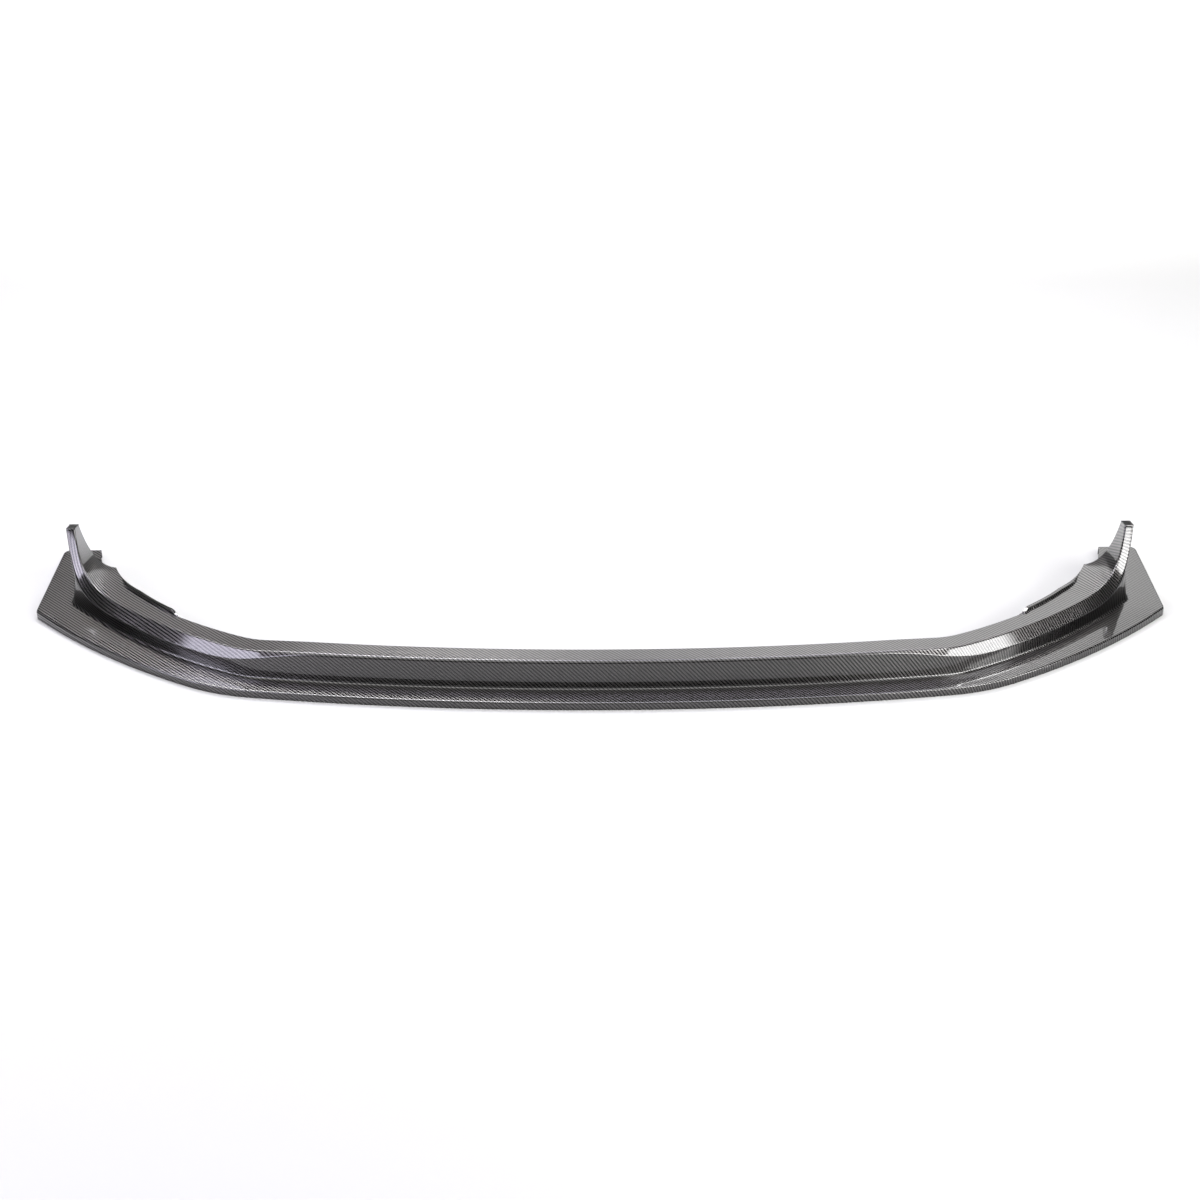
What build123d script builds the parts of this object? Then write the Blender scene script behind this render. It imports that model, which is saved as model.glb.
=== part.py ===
from build123d import *
import os
from math import asin, cos, degrees, radians, sin, tan

# Front splitter lip, laid up in one mould as a thin shell. Millimetres, X across the car, front at -Y, +Z up.
# Plan points are worked out with Y = 0 at the middle of the front edge, and the whole is centred at the end.

# Laminate and blade
SHELL = 3.0  # thickness of the laminate
EDGE_HEIGHT = 14.0  # turned-down edge of the blade, from the ground to the blade's top
EDGE_ROUND = 3.0  # rounding along the top of that edge
FOOT_HEIGHT = EDGE_HEIGHT - SHELL / 2  # the wall is bonded into the blade to this depth
BLADE_WIDTH = 37.0  # flat of the blade in front of the wall, at the middle

# Front edge line in plan: three bends from the middle outwards
FRONT_CENTRE_RADIUS = 3730.0
FRONT_SHOULDER_START = 8.2  # heading in degrees where the shoulder bend starts
FRONT_SHOULDER_RADIUS = 300.0
FRONT_SHOULDER_END = 27.7
FRONT_SWEEP_RADIUS = 1100.0

# Wall line in plan: three bends again, then a tight corner and a straight side
WALL_CENTRE_RADIUS = 3900.0
WALL_SHOULDER_START = 7.6
WALL_SHOULDER_RADIUS = 175.0
WALL_SHOULDER_END = 25.2
WALL_SWEEP_RADIUS = 860.0
WALL_CORNER_RADIUS = 15.0
SIDE_LENGTH = 130.0  # straight side of the wall along the end plate

# End plate
HALF_WIDTH = 906.5  # middle of the car to the front corner of the plate
PLATE_WIDTH = 55.0  # plate outside the wall
WALL_SIDE_X = HALF_WIDTH - PLATE_WIDTH  # outer side of the wall behind the corner
PLATE_RUN = 174.5  # plate behind the wall's corner
PLATE_TAPER = 3.0  # how much the plate narrows towards the rear
TAB_SET_IN = 9.5  # rear inboard corner of the plate, inboard of the wall's side
BLADE_LEDGE = 2.5  # ledge behind the wall
PLATE_EDGE = SHELL + BLADE_LEDGE  # how far the blade runs on under the wall
TAB_LENGTH = 54.0  # plate's inboard edge behind the horn
TAB_LEAN = 13.0  # degrees inboard, going forward
TAB_RETURN = 20.0  # slanted step from that edge back out to the wall
PLATE_FRONT_ROUND = 10.0  # corners of the plate in plan
PLATE_REAR_ROUND = 12.0

# Top flange
FLANGE_HEIGHT = 60.0  # at the middle
FLANGE_HEIGHT_SIDE = 53.0  # along the swept sides
FLANGE_WIDTH = 32.0
FLANGE_WIDENING = 7.0  # extra width at the end of the rail
WIDENING_LENGTH = 125.0  # over which it widens, up to the foot of the horn
NOTCH_SET_IN = 65.5  # rear corner of the flange beside the horn: inboard of the wall's side
NOTCH_BACK = 38.5  # behind the wall's corner
NOTCH_LIFT = 2.0  # above the flange

# Nose: the sloped face between the wall and the flange
NOSE_EDGE = 3.0  # bevel of the flange's front edge at the middle
NOSE_RISE = 16.0
NOSE_SET_BACK = 13.0
NOSE_START = 430.0  # along the wall line
NOSE_FULL = 620.0
WALL_LEAN = 6.0  # degrees, at the middle
WALL_LEAN_SIDE = 2.0

# Horn: the rail turned upwards at each end
HORN_FOOT = 112.0  # along the wall line, from the foot of the horn to the wall's corner
NOTCH_SHARE = 0.36  # share of the horn before the notch
CORNER_SHARE = 0.6  # share before the wall has turned its corner
SIDE_SHARE = 0.84  # share before the side wall ends
TIP_HEIGHT = 125.0  # inner front corner of the tip above the ground, under the lid
TIP_SET_IN = 8.0  # inboard of the wall's side
TIP_BACK = 35.5  # behind the wall's corner
TIP_WIDTH = 15.0
TIP_DEPTH = 27.0
TIP_FALL = 6.0  # how much the tip drops towards its rear
TIP_LID = SHELL
TIP_ROUND = 0.6 * TIP_LID  # rounding round the top of the lid
HORN_LEAN = 26.0  # degrees backwards, at the tip
HORN_FLARE = 7.0  # degrees outwards, at the tip
REAR_LEAN = 23.0  # degrees forwards, rear edge at the tip
REAR_FLARE = 2.0  # degrees outwards
LOW_PULL = (90.0, 80.0)  # nose's lower line: how far it runs straight on from its start and into its end
TOP_PULL = (80.0, 64.0)  # nose's upper line
NOTCH_PULL = (28.0, 32.0)  # flange's rear edge up to the notch
REAR_PULL = (26.0, 72.0)  # the same edge from the notch to the tip
NOTCH_HEADING = 70.0  # degrees, flange's rear edge as it comes to the notch
NOTCH_TURN = 60.0  # degrees, how sharply it turns there

# Upturned rim on the flange's rear edge, from the sweep to the notch
RIM_HEIGHT = 5.0
RIM_WIDTH = 8.0  # ledge along its top
RIM_REACH = 7.0  # how far the flange runs further back along the rim
RIM_LENGTH = 115.0  # along the wall line, up to the foot of the horn
RIM_RAMP = 30.0  # length over which it rises
RIM_START_HEIGHT = 0.4
RIM_LOW = 2.0  # height left at the notch
RIM_SET_IN = 0.6  # behind the rim, on the flange
RIM_SINK = SHELL / 2  # the rim is bonded into the flange to this depth

# Even steps of the skins: plain middle to horn, up the horn, along the rim to the horn and on to the notch
SIDE_STEPS = 14
HORN_STEPS = 28
RIM_STEPS = 10
RIM_END_STEPS = 6
NEARBY = 0.002  # spacing of the stations that give a direction


def mix(a, b, t):
    return a + (b - a) * t


def ease(value, start, end):
    """Smooth step from 0 at start to 1 at end."""
    t = min(max((value - start) / (end - start), 0.0), 1.0)
    return t * t * (3.0 - 2.0 * t)


def turned(degrees):
    """Unit heading in plan."""
    return (cos(radians(degrees)), sin(radians(degrees)), 0.0)


def moved(point, direction, distance):
    return tuple(p + d * distance for p, d in zip(point, direction))


def bezier(points, t):
    weights = ((1 - t) ** 3, 3 * t * (1 - t) ** 2, 3 * t * t * (1 - t), t**3)
    return tuple(sum(w * p[k] for w, p in zip(weights, points)) for k in range(3))


def walk(bends, start_y, distance):
    """Point and heading after a distance along tangent bends, then straight on."""
    x, y, heading = 0.0, start_y, 0.0
    for radius, end in bends:
        step = min(distance / radius, radians(end) - heading)
        x += radius * (sin(heading + step) - sin(heading))
        y += radius * (cos(heading) - cos(heading + step))
        heading += step
        distance -= radius * step
    return x + distance * cos(heading), y + distance * sin(heading), heading


def length_of(bends):
    total, heading = 0.0, 0.0
    for radius, end in bends:
        total += radius * (radians(end) - heading)
        heading = radians(end)
    return total


def inset_bends(bends, inset):
    """The same line moved towards its inner side."""
    return tuple((radius - inset, end) for radius, end in bends)


def sweep_end(bends, sweep_radius, reach_x, corner_radius):
    """Heading where a sweep after these bends meets a corner that ends at reach_x."""
    x, _, heading = walk(bends, 0.0, length_of(bends))
    rise = reach_x - x + sweep_radius * sin(heading) - corner_radius
    return degrees(asin(rise / (sweep_radius - corner_radius)))


def front_bends(inset):
    bends = inset_bends(
        ((FRONT_CENTRE_RADIUS, FRONT_SHOULDER_START), (FRONT_SHOULDER_RADIUS, FRONT_SHOULDER_END)), inset
    )
    radius = FRONT_SWEEP_RADIUS - inset
    return (*bends, (radius, sweep_end(bends, radius, HALF_WIDTH - inset, 0.0)))


def wall_bends(inset):
    bends = ((WALL_CENTRE_RADIUS, WALL_SHOULDER_START), (WALL_SHOULDER_RADIUS, WALL_SHOULDER_END))
    sweep = sweep_end(bends, WALL_SWEEP_RADIUS, WALL_SIDE_X, WALL_CORNER_RADIUS)
    return inset_bends((*bends, (WALL_SWEEP_RADIUS, sweep), (WALL_CORNER_RADIUS, 90.0)), inset)


WALL = wall_bends(0.0)
WALL_TURN = length_of(WALL)  # along the wall line to the end of the corner
CORNER_Y = walk(WALL, BLADE_WIDTH, WALL_TURN)[1]
PLATE_REAR = CORNER_Y + PLATE_RUN
RAIL_LENGTH = length_of(WALL[:3]) - HORN_FOOT  # from the middle to the foot of the horn
RIM_START = RAIL_LENGTH - RIM_LENGTH
NOTCH = (WALL_SIDE_X - NOTCH_SET_IN, CORNER_Y + NOTCH_BACK, FLANGE_HEIGHT_SIDE + NOTCH_LIFT)
HORN_TIP = (WALL_SIDE_X - TIP_SET_IN, CORNER_Y + TIP_BACK, TIP_HEIGHT)  # inner front corner


def rail_points(s):
    """Flange rear, flange front, nose low and wall foot at a distance along the wall line."""
    x, y, heading = walk(WALL, BLADE_WIDTH, s)
    full = ease(s, NOSE_START, NOSE_FULL)
    top = mix(FLANGE_HEIGHT, FLANGE_HEIGHT_SIDE, full)
    low = top - mix(NOSE_EDGE, NOSE_RISE, full)
    lean = mix(WALL_LEAN, WALL_LEAN_SIDE, full)
    widened = max(0.0, s - RAIL_LENGTH + WIDENING_LENGTH) / WIDENING_LENGTH
    low_in = tan(radians(lean)) * (low - FOOT_HEIGHT)
    top_in = low_in + mix(NOSE_EDGE, NOSE_SET_BACK, full)
    reach = RIM_REACH * ease(s, RIM_START, RIM_START + RIM_RAMP)
    rear_in = top_in + FLANGE_WIDTH + FLANGE_WIDENING * widened**2 + reach
    inward = (-sin(heading), cos(heading), 0.0)
    return [
        moved((x, y, height), inward, inset)
        for height, inset in ((top, rear_in), (top, top_in), (low, low_in), (FOOT_HEIGHT, 0.0))
    ]


def horn_lines():
    """Control points of the flange's rear edge to the notch, then to the tip, and of the nose's two edges."""
    rear, top, low, _ = rail_points(RAIL_LENGTH)
    ahead = turned(degrees(walk(WALL, BLADE_WIDTH, RAIL_LENGTH)[2]))
    axis = (sin(radians(HORN_FLARE)), sin(radians(HORN_LEAN)), cos(radians(HORN_LEAN)))
    rear_axis = (sin(radians(REAR_FLARE)), -sin(radians(REAR_LEAN)), cos(radians(REAR_LEAN)))
    tip_low = moved(HORN_TIP, (1.0, 0.0, 0.0), TIP_WIDTH)
    tip_rear = (HORN_TIP[0], HORN_TIP[1] + TIP_DEPTH, HORN_TIP[2] - TIP_FALL)
    to_notch = (
        rear,
        moved(rear, ahead, NOTCH_PULL[0]),
        moved(NOTCH, turned(NOTCH_HEADING), -NOTCH_PULL[1]),
        NOTCH,
    )
    to_tip = (
        NOTCH,
        moved(NOTCH, turned(NOTCH_HEADING - NOTCH_TURN), REAR_PULL[0]),
        moved(tip_rear, rear_axis, -REAR_PULL[1]),
        tip_rear,
    )
    top_line = (top, moved(top, ahead, TOP_PULL[0]), moved(HORN_TIP, axis, -TOP_PULL[1]), HORN_TIP)
    low_line = (low, moved(low, ahead, LOW_PULL[0]), moved(tip_low, axis, -LOW_PULL[1]), tip_low)
    return to_notch, to_tip, top_line, low_line


def wall_foot(t):
    """Lower edge of the wall beside the horn: round the corner, along the plate, then up to the tip."""
    if t <= SIDE_SHARE:
        run = mix(RAIL_LENGTH, WALL_TURN, min(t / CORNER_SHARE, 1.0))
        run += SIDE_LENGTH * max(0.0, t - CORNER_SHARE) / (SIDE_SHARE - CORNER_SHARE)
        x, y, _ = walk(WALL, BLADE_WIDTH, run)
        return (x, y, FOOT_HEIGHT)
    x, y, _ = walk(WALL, BLADE_WIDTH, WALL_TURN + SIDE_LENGTH)
    tip = (HORN_TIP[0] + TIP_WIDTH, HORN_TIP[1] + TIP_DEPTH, HORN_TIP[2] - TIP_FALL)
    share = (t - SIDE_SHARE) / (1.0 - SIDE_SHARE)
    return tuple(mix(a, b, share) for a, b in zip((x, y, FOOT_HEIGHT), tip))


def horn_points(t):
    to_notch, to_tip, top_line, low_line = horn_lines()
    if t <= NOTCH_SHARE:
        rear = bezier(to_notch, t / NOTCH_SHARE)
    else:
        rear = bezier(to_tip, (t - NOTCH_SHARE) / (1.0 - NOTCH_SHARE))
    return [rear, bezier(top_line, t), bezier(low_line, t), wall_foot(t)]


def station_points(u):
    """Guide points at a station: along the rail up to 1, then up the horn to 2."""
    if u <= 1.0:
        return [Vector(*p) for p in rail_points(u * RAIL_LENGTH)]
    return [Vector(*p) for p in horn_points(u - 1.0)]


def section_heading(u):
    """Direction square to the flat sections at the middle, the foot of the horn and the tip."""
    if u == 2.0:
        return Vector(0.0, TIP_FALL, TIP_DEPTH).normalized()
    heading = walk(WALL, BLADE_WIDTH, u * RAIL_LENGTH)[2]
    return Vector(cos(heading), sin(heading), 0.0)


def strip_normals(u):
    """Outward normals of the flange, the nose and the wall at a station."""
    here = station_points(u)
    if u <= 1.0 or u == 2.0:
        along = [section_heading(u)] * 4
    else:
        behind = station_points(u - NEARBY)
        ahead = station_points(u + NEARBY)
        along = [(b - a).normalized() for a, b in zip(behind, ahead)]
    return [
        (here[k + 1] - here[k]).cross(along[k] + along[k + 1]).normalized()
        for k in range(3)
    ]


def shell_section(u):
    """Closed outline of the laminate at a station: outer points, then the inner ones back again."""
    outer = station_points(u)
    flange, nose, wall = strip_normals(u)
    inward = [
        flange,
        (flange + nose) / (1.0 + flange.dot(nose)),
        (nose + wall) / (1.0 + nose.dot(wall)),
        wall,
    ]
    inner = [point - direction * SHELL for point, direction in zip(outer, inward)]
    return outer + inner[::-1]


def mirrored(section):
    return [Vector(-p.X, p.Y, p.Z) for p in section]


def skin(sections):
    return Solid.make_loft([Wire.make_polygon(section) for section in sections])


def centre_shell():
    """Flange, nose and wall across the plain middle, turned about the centre of the wall's bend."""
    profile = Face(Wire.make_polygon(shell_section(0.0)))
    axis = Axis((0.0, BLADE_WIDTH + WALL_CENTRE_RADIUS, 0.0), (0.0, 0.0, 1.0))
    turn = degrees(NOSE_START / WALL_CENTRE_RADIUS)
    return revolve(profile.rotate(axis, -turn), axis, 2.0 * turn)


def side_skins(sections):
    """One skin on the right and its mirror image on the left."""
    return [skin(sections), skin([mirrored(section) for section in sections])]


def side_shells():
    """Flange, nose and wall from the plain middle to the foot of each horn."""
    start = NOSE_START / RAIL_LENGTH
    return side_skins([shell_section(mix(start, 1.0, k / SIDE_STEPS)) for k in range(SIDE_STEPS + 1)])


def horn_shells():
    """The same three faces swept upwards and closed round the corner."""
    return side_skins([shell_section(1.0 + k / HORN_STEPS) for k in range(HORN_STEPS + 1)])


def rim_section(u, height):
    """Section of the rim square to the flange's rear edge."""
    rear, front = station_points(u)[:2]
    up = strip_normals(u)[0]
    forward = (front - rear).normalized()
    base = rear + forward * RIM_SET_IN - up * RIM_SINK
    rise = up * (RIM_SINK + height)
    across = forward * RIM_WIDTH
    return [base, base + across, base + across + rise, base + rise]


def rims():
    """Upturned rim on each side: it rises, runs on level and falls away to the notch."""
    sections = []
    for k in range(RIM_STEPS):
        s = mix(RIM_START, RAIL_LENGTH, k / RIM_STEPS)
        height = mix(RIM_START_HEIGHT, RIM_HEIGHT, ease(s, RIM_START, RIM_START + RIM_RAMP))
        sections.append(rim_section(s / RAIL_LENGTH, height))
    for k in range(RIM_END_STEPS + 1):
        share = k / RIM_END_STEPS
        sections.append(rim_section(1.0 + NOTCH_SHARE * share, mix(RIM_HEIGHT, RIM_LOW, ease(share, 0.0, 1.0))))
    return side_skins(sections)


def tip_lids():
    """Lid that closes the top of each horn, with its upper edges rounded."""
    up = section_heading(2.0)
    lid = extrude(Face(Wire.make_polygon(station_points(2.0))), TIP_LID, dir=up)
    lid = fillet(lid.faces().sort_by(Axis((0.0, 0.0, 0.0), up))[-1].edges(), TIP_ROUND)
    return [lid, mirror(lid, Plane.YZ)]


def bend_arcs(bends, start_y, side):
    """Edges of a line of bends from the middle outwards, on the right (1) or the left (-1)."""
    edges, run = [], 0.0
    heading = 0.0
    for radius, end in bends:
        length = radius * (radians(end) - heading)
        points = [walk(bends, start_y, run + length * share) for share in (0.0, 0.5, 1.0)]
        edges.append(ThreePointArc(*[(side * x, y) for x, y, _ in points]))
        run += length
        heading = radians(end)
    return edges


def half_outline(inset, reach, side):
    """Edge of the blade and end plate on one side, and the line behind the wall that closes it."""
    front = front_bends(inset)
    behind = wall_bends(reach)
    corner_y = walk(front, inset, length_of(front))[1]
    turn_x, turn_y, _ = walk(behind, BLADE_WIDTH + reach, length_of(behind))
    rear_y = PLATE_REAR - inset
    inner_x = WALL_SIDE_X - TAB_SET_IN + PLATE_EDGE - reach
    tab_y = rear_y - TAB_LENGTH
    points = [
        (HALF_WIDTH - inset, corner_y),
        (HALF_WIDTH - inset - PLATE_TAPER, rear_y),
        (inner_x, rear_y),
        (inner_x - TAB_LENGTH * tan(radians(TAB_LEAN)), tab_y),
        (turn_x, tab_y - TAB_RETURN),
        (turn_x, turn_y),
    ]
    plate = Polyline(*[(side * x, y) for x, y in points])
    return [*bend_arcs(front, inset, side), *plate.edges(), *bend_arcs(behind, BLADE_WIDTH + reach, side)]


def blade_face(inset, reach):
    """Plan of the blade and both end plates, with the plates' outer corners rounded."""
    face = Face(Wire(half_outline(inset, reach, 1) + half_outline(inset, reach, -1)))
    plan = Sketch() + face
    for x in (HALF_WIDTH, -HALF_WIDTH):
        front_corner = plan.vertices().sort_by_distance((x, front_corner_y()))[0]
        plan = fillet(front_corner, PLATE_FRONT_ROUND - inset)
        rear_corner = plan.vertices().sort_by_distance((x, PLATE_REAR))[0]
        plan = fillet(rear_corner, PLATE_REAR_ROUND - inset)
    return plan


def front_corner_y():
    front = front_bends(0.0)
    return walk(front, 0.0, length_of(front))[1]


def blade_shell():
    """Flat blade and end plates with a turned-down edge, open below and behind the wall."""
    block = extrude(blade_face(0.0, PLATE_EDGE), EDGE_HEIGHT)
    top_edge = block.faces().sort_by(Axis.Z)[-1].edges().sort_by(Axis.Y)[0]
    block = fillet(top_edge, EDGE_ROUND)
    hollow = extrude(blade_face(SHELL, 2 * PLATE_EDGE), EDGE_HEIGHT)
    return block - Pos(0, 0, -SHELL) * hollow


def lip():
    whole = blade_shell() + centre_shell()
    for piece in (*side_shells(), *horn_shells(), *rims(), *tip_lids()):
        whole += piece
    return whole


def main():
    os.makedirs("parts", exist_ok=True)
    part = Pos(0, -PLATE_REAR / 2, 0) * lip()
    export_step(part, "parts/splitter_lip.step")


if __name__ == "__main__":
    main()
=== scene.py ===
from math import asin, atan2, cos, degrees, hypot, radians, sin, tan

import bpy
import numpy as np
from bpy.props import FloatProperty, FloatVectorProperty, PointerProperty
from mathutils import Euler, Matrix, Vector


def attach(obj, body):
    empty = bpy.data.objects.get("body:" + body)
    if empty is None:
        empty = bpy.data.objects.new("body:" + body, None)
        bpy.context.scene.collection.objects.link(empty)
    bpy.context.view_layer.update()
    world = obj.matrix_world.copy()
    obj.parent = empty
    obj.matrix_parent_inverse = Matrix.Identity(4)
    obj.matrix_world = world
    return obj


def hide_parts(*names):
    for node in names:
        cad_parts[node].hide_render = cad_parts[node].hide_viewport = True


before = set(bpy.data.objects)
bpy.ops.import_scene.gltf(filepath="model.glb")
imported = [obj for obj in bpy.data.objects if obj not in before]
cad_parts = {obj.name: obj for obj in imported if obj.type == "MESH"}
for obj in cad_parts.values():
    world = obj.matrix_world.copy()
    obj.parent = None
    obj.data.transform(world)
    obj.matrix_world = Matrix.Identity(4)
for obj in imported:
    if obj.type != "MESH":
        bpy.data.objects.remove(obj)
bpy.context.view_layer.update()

bl_info = {
    "name": "Front splitter lip",
    "version": (1, 0, 0),
    "blender": (4, 5, 0),
    "location": "View3D > Sidebar > Splitter lip",
    "description": "Builds a clear-coated carbon front splitter lip and a plain studio stage",
    "category": "Object",
}

NODE = "splitter_lip"
SHELL = "splitter_lip_shell"
CLOTH = "cloth"  # name of the UV map that holds the flattened cloth, in metres
MM = 0.001
TINY = 1e-9  # keeps a vector of no length from dividing by zero
SIZE_DIGITS = 4  # decimals of a millimetre that sizes and welded points are kept to
UP = np.array((0.0, 0.0, 1.0))
MIRROR = np.array((-1.0, 1.0, 1.0))

# Plan lines in millimetres and degrees, as in the solid; a bend is a radius and the heading at its end
FRONT_BENDS = ((3730.0, 8.2), (300.0, 27.7))
FRONT_SWEEP_RADIUS = 1100.0
WALL_BENDS = ((3900.0, 7.6), (175.0, 25.2))
WALL_SWEEP_RADIUS = 860.0
WALL_CORNER_RADIUS = 15.0
SIDE_LENGTH = 130.0
HALF_WIDTH = 906.5
PLATE_WIDTH = 55.0
WALL_SIDE_X = HALF_WIDTH - PLATE_WIDTH
PLATE_RUN = 174.5
PLATE_TAPER = 3.0
PLATE_FRONT_ROUND = 10.0
PLATE_REAR_ROUND = 12.0
TAB_SET_IN = 9.5
TAB_LENGTH = 54.0
TAB_LEAN = 13.0
TAB_END = 8.0  # where the tab's inner edge stops short of the rear edge
FALL_FADE = 60.0  # length over which the blade levels out into the end plate
EDGE_CORNER = 3  # place of the rounded front corner among the stretches of the outer edge

# Section of the rail
NOSE_START, NOSE_FULL = 430.0, 620.0
NOSE_EDGE, NOSE_RISE, NOSE_SET_BACK = 3.0, 16.0, 13.0
WALL_LEAN, WALL_LEAN_SIDE = 6.0, 2.0
FLANGE_WIDENING, WIDENING_LENGTH = 7.0, 125.0
NOTCH_SET_IN, NOTCH_BACK, NOTCH_LIFT = 65.5, 38.5, 2.0

# Horn; shares are parts of the way from its foot to its tip
HORN_FOOT = 112.0
NOTCH_SHARE, CORNER_SHARE, SIDE_SHARE = 0.36, 0.6, 0.84
SINK_FADE = 0.06  # share over which the inner foot line rises from under the plate
TIP_SET_IN, TIP_BACK = 8.0, 35.5
TIP_WIDTH, TIP_DEPTH, TIP_FALL = 15.0, 27.0, 6.0
TIP_LID, TIP_ROUND = 3.0, 0.8
HORN_LEAN, HORN_FLARE = 26.0, 7.0
REAR_LEAN, REAR_FLARE = 23.0, 2.0
LOW_PULL, TOP_PULL = (90.0, 80.0), (80.0, 64.0)  # reach of a curve's handles at its start and end
NOTCH_PULL, REAR_PULL = (28.0, 32.0), (26.0, 72.0)
NOTCH_HEADING, NOTCH_TURN = 70.0, 60.0

# Rim on the flange's rear edge
RIM_LENGTH, RIM_RAMP = 115.0, 30.0
RIM_LOW = 2.0  # height under which the rim narrows
RIM_END = 0.8  # share of the way to the notch at which the rim is gone
RIM_SET_IN, RIM_WIDTH, RIM_REACH, RIM_SLANT = 0.6, 8.0, 7.0, 3.0

# Roundings of the section's corners, as the length cut off each side
RIM_CUT, RIM_CUT_SHARE = 1.5, 0.45  # the second is the largest share of the rim's height
TOP_CUT, TOP_CUT_MIDDLE, TOP_CUT_TIP = 1.6, 2.0, 2.5
LOW_CUT, LOW_CUT_MIDDLE, LOW_CUT_TIP = 0.8, 2.0, 4.5
FILLET_END = 0.4  # what is left of the wall's fillet at its rear end
FILLET_FADE = 30.0  # length over which the fillet shrinks to that
SHARP_ANGLE = 38.0  # edges that turn by more degrees than this are shaded sharp

# Grid sizes: columns along the lip, rows across its section
RAIL_COLUMNS = 150
HORN_COLUMNS = (40, 30, 26, 24)  # to the notch, past the wall's corner, to its side's end and to the tip
TAIL_COLUMNS = 40
ROUND_ROWS = 9
RIM_ROWS, FLANGE_ROWS, NOSE_ROWS, WALL_ROWS = 5, 7, 4, 8
INNER_WALL_ROWS, INNER_NOSE_ROWS, INNER_FLANGE_ROWS = 3, 2, 3
BLADE_ROWS, EDGE_ROWS, UNDER_ROWS = 14, 2, 3
LID_ROWS = 6
OUTER_TOP = 1 + RIM_ROWS + FLANGE_ROWS + ROUND_ROWS // 2  # outer row on the flange's front line
INNER_TOP = INNER_WALL_ROWS + INNER_NOSE_ROWS + 2  # inner row under that line
INNER_REAR = INNER_TOP + INNER_FLANGE_ROWS + 1  # inner row under the flange's rear edge

# Carbon cloth: a 2/2 twill repeats every four tows, and its steps below the limit, 0 and 1, show the weft
TWILL_REPEAT, WEFT_LIMIT = 4.0, 1.5
QUARTER_TURN = 0.25  # of the shine's direction, which the shader counts in turns
COAT_IOR = 1.55

# Stage, in metres and degrees
WHITE = "#ffffff"
COOL = "#eeebff"  # tint of the lights on the left and overhead
FLOOR_HALF = 9.0
FLOOR_ROUGHNESS, FLOOR_GLOSS = 0.9, 0.1
SOFT_EDGE, SOFT_FRONT = 0.25, 0.1  # share of a softbox's width over which it darkens towards its frame
CEILING_SPREAD, CEILING_TILT = 60.0, 15.0
SENSOR_WIDTH = 36.0
FOCAL_PIXELS, PICTURE_PIXELS = 2135.0, 1200.0  # focal length and width of the picture
CLIP_END = 50.0

# Softboxes: name, place, point that it faces, width and height, tint, soft edge
SOFTBOXES = (
    ("rear_softbox", (0.9, 3.0, 1.9), (0.9, 0.0, 0.0), (4.4, 1.6), WHITE, SOFT_EDGE),
    ("rear_high", (-1.7, 3.0, 2.9), (-0.6, 0.0, 0.0), (1.8, 0.9), COOL, SOFT_EDGE),
    ("right_softbox", (2.28, -1.82, 1.55), (0.62, -0.12, 0.05), (2.9, 0.95), WHITE, SOFT_FRONT),
    ("left_softbox", (-2.32, -1.64, 1.6), (-0.6, -0.1, 0.05), (2.6, 1.0), COOL, SOFT_FRONT),
    ("strip_left", (-1.0, 1.5, 2.4), (-1.0, 0.0, 0.0), (2.2, 0.4), WHITE, SOFT_EDGE),
    ("strip_right", (0.9, 1.9, 2.1), (0.9, 0.0, 0.0), (1.6, 0.4), WHITE, SOFT_EDGE),
    ("side_right", (2.45, -1.0, 0.45), (0.75, -0.05, 0.05), (0.9, 0.35), WHITE, SOFT_EDGE),
    ("side_left", (-2.45, -1.0, 0.45), (-0.75, -0.05, 0.05), (0.9, 0.35), COOL, SOFT_EDGE),
    ("high_right", (1.9, -1.1, 2.3), (0.75, 0.0, 0.05), (0.9, 0.7), WHITE, SOFT_EDGE),
    ("strip_top", (0.0, 0.75, 2.35), (0.0, 0.0, 0.0), (3.0, 0.7), COOL, SOFT_EDGE),
    ("backdrop_light", (0.0, 2.6, 1.5), (0.0, 4.6, 0.0), (7.0, 0.6), WHITE, SOFT_EDGE),
)


def mix(a, b, t):
    """The value a share t of the way from a to b."""
    return a + (b - a) * t


def ease(value, start, end):
    """Smooth step: 3t^2 - 2t^3 of the share t of the way from start to end."""
    t = np.clip((value - start) / (end - start), 0.0, 1.0)
    return t * t * (3.0 - 2.0 * t)


def unit(v):
    """Vectors divided by their lengths."""
    return v / np.maximum(np.linalg.norm(v, axis=-1, keepdims=True), TINY)


def point(x, y, z):
    """Stacks coordinates, arrays or single numbers, into points."""
    return np.stack(np.broadcast_arrays(x, y, z), axis=-1).astype(float)


def level(heading):
    """Unit vectors in plan at these headings, in radians."""
    return point(np.cos(heading), np.sin(heading), 0.0)


def outward(heading):
    """Unit vectors in plan to the outer side of these headings."""
    return point(np.sin(heading), -np.cos(heading), 0.0)


def bezier(points, t):
    """Cubic curve: the four points weighted by the terms of ((1 - t) + t)^3."""
    t = t[:, None]
    weights = ((1 - t) ** 3, 3 * t * (1 - t) ** 2, 3 * t * t * (1 - t), t**3)
    return sum(w * p for w, p in zip(weights, points))


def arc(radius, turn):
    """A stretch of a path: its length, radius times angle, and its turn in degrees."""
    return (radius * radians(turn), turn)


def walk(path, start_y, distance):
    """Point and heading at each distance along stretches that each turn evenly: the sum of their chords."""
    x = np.zeros_like(distance)
    y = np.full_like(distance, start_y)
    heading = np.zeros_like(distance)
    begun = 0.0
    for length, turn in path:
        step = np.clip(distance - begun, 0.0, length)
        bend = radians(turn) / length
        after = heading + bend * step
        half = (heading + after) / 2
        chord = step * np.sinc(bend * step / 2 / np.pi)
        x = x + chord * np.cos(half)
        y = y + chord * np.sin(half)
        heading = after
        begun += length
    return x, y, heading


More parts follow.
